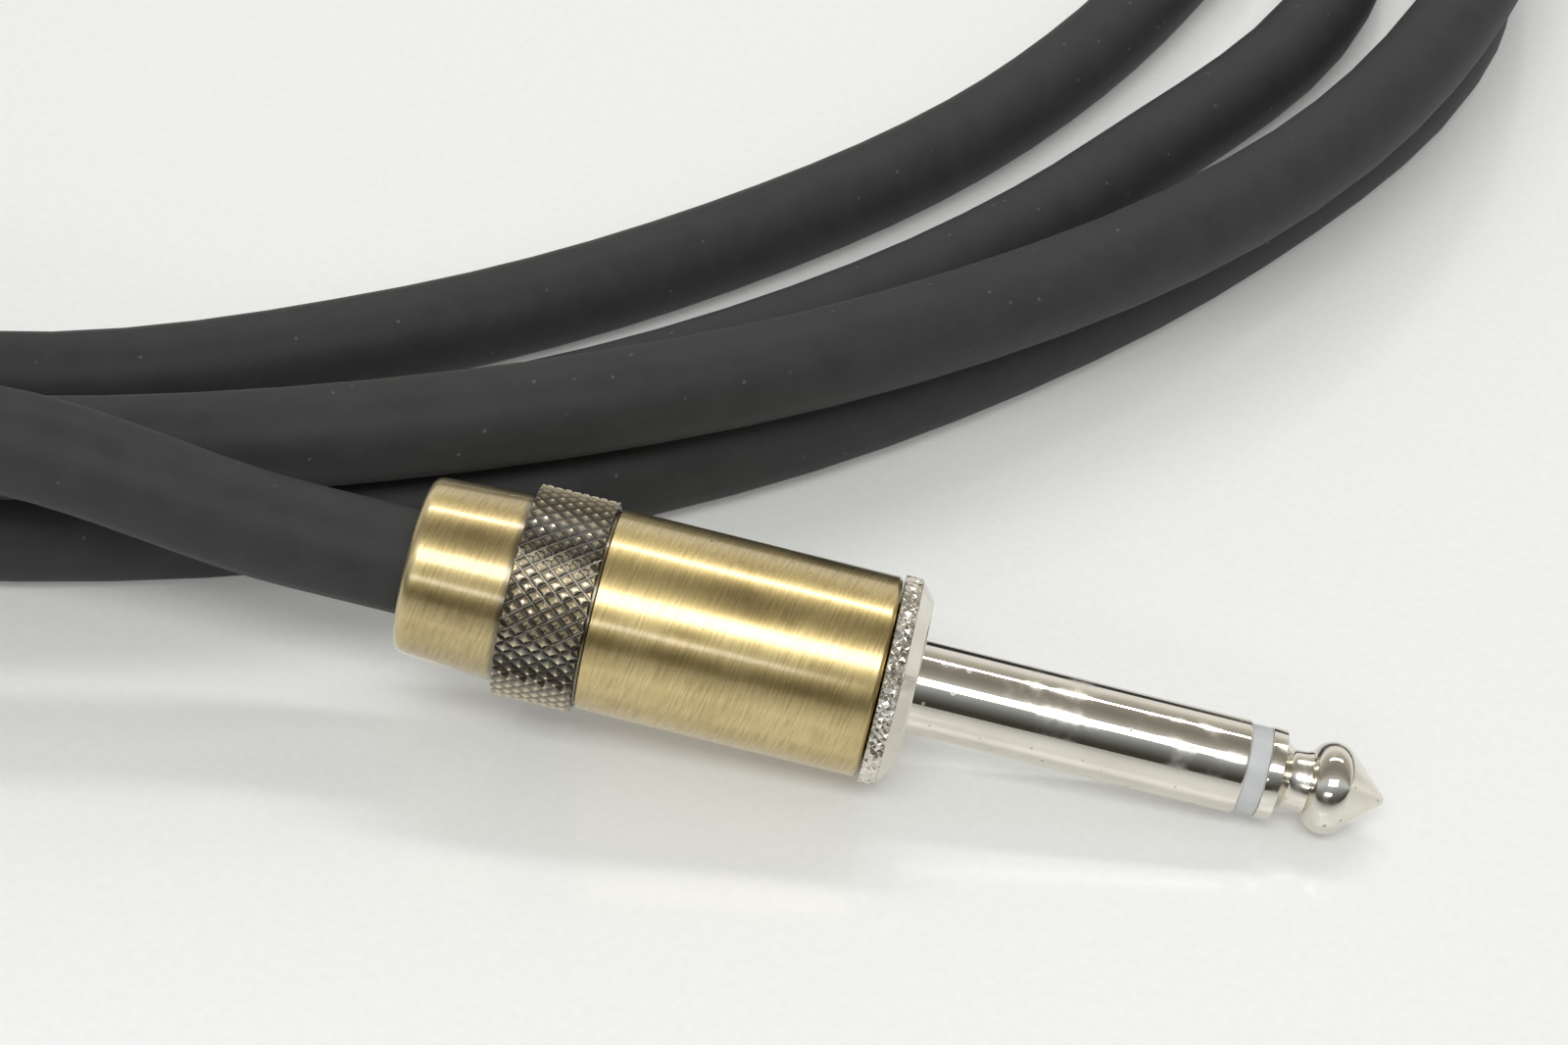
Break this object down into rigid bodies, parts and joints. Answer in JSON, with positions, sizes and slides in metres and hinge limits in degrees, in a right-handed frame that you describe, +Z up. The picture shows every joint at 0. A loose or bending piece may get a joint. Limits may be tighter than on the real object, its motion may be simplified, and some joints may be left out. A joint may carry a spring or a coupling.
{
  "type": "instrument cable",
  "caption": "Coiled instrument cable with a quarter-inch mono phone plug on each end; each plug has a knurled screw-off brass shell.",
  "frame": {"origin": "on the table under the middle of the front plug", "axes": "+X along the front plug towards its tip, +Y away from the viewer towards the coil, +Z up"},
  "size_m": [0.1983, 0.1961, 0.0228],
  "materials": {
    "antique_brass": "antique brass, brushed round the axis, lacquered; the knurled band is darkened",
    "nickel": "bright nickel plate, slightly warm; the rim is finely knurled",
    "insulator": "light grey moulded plastic",
    "core_insulation": "natural white plastic",
    "washer_board": "brown phenolic board",
    "tinned_brass": "tinned brass strip",
    "tinned_steel": "nickel-plated steel strip",
    "liner_plastic": "black plastic sleeve",
    "copper": "bare stranded copper",
    "solder": "smooth solder",
    "cable_jacket": "matte charcoal rubber with fine dust"
  },
  "bodies": {
    "plug_and_cable": {"tip_a": "nickel", "tip_ring_a": "insulator", "plug_body_a": "nickel", "core_tube_a": "core_insulation", "rear_washer_a": "washer_board", "tip_lug_a": "tinned_brass", "ground_clamp_a": "tinned_steel", "conductor_a": "copper", "dielectric_a": "core_insulation", "shield_tail_a": "copper", "tip_solder_a": "solder", "ground_solder_a": "solder", "cable_end_a": "cable_jacket", "tip_b": "nickel", "tip_ring_b": "insulator", "plug_body_b": "nickel", "core_tube_b": "core_insulation", "rear_washer_b": "washer_board", "tip_lug_b": "tinned_brass", "ground_clamp_b": "tinned_steel", "conductor_b": "copper", "dielectric_b": "core_insulation", "shield_tail_b": "copper", "tip_solder_b": "solder", "ground_solder_b": "solder", "cable_end_b": "cable_jacket", "cable_lead": "cable_jacket", "cable_coil": "cable_jacket", "cable_tail": "cable_jacket"},
    "liner_a": {"shell_liner_a": "liner_plastic"},
    "shell_a": {"shell_a": "antique_brass"},
    "liner_b": {"shell_liner_b": "liner_plastic"},
    "shell_b": {"shell_b": "antique_brass"}
  },
  "joints": [
    {"name": "shell_a_travel", "type": "slide", "parent": "plug_and_cable", "child": "liner_a", "axis": [-0.991, 0, 0.1338], "range_m": [0, 0.0064]},
    {"name": "shell_a_turn", "type": "hinge", "parent": "liner_a", "child": "shell_a", "pos_m": [-0.00076, 0, 0.0072], "axis": [-0.991, 0, 0.1338], "range_deg": [0, 2880]},
    {"name": "shell_b_travel", "type": "slide", "parent": "plug_and_cable", "child": "liner_b", "axis": [-0.8988, -0.4384, 0], "range_m": [0, 0.0064]},
    {"name": "shell_b_turn", "type": "hinge", "parent": "liner_b", "child": "shell_b", "pos_m": [-0.06057, 0.12942, 0.0072], "axis": [-0.8988, -0.4384, 0], "range_deg": [0, 2880]}
  ],
  "couplings": [
    {"joint": "shell_a_travel", "follows": "shell_a_turn", "m_per_rad": 0.00012732},
    {"joint": "shell_b_travel", "follows": "shell_b_turn", "m_per_rad": 0.00012732}
  ]
}
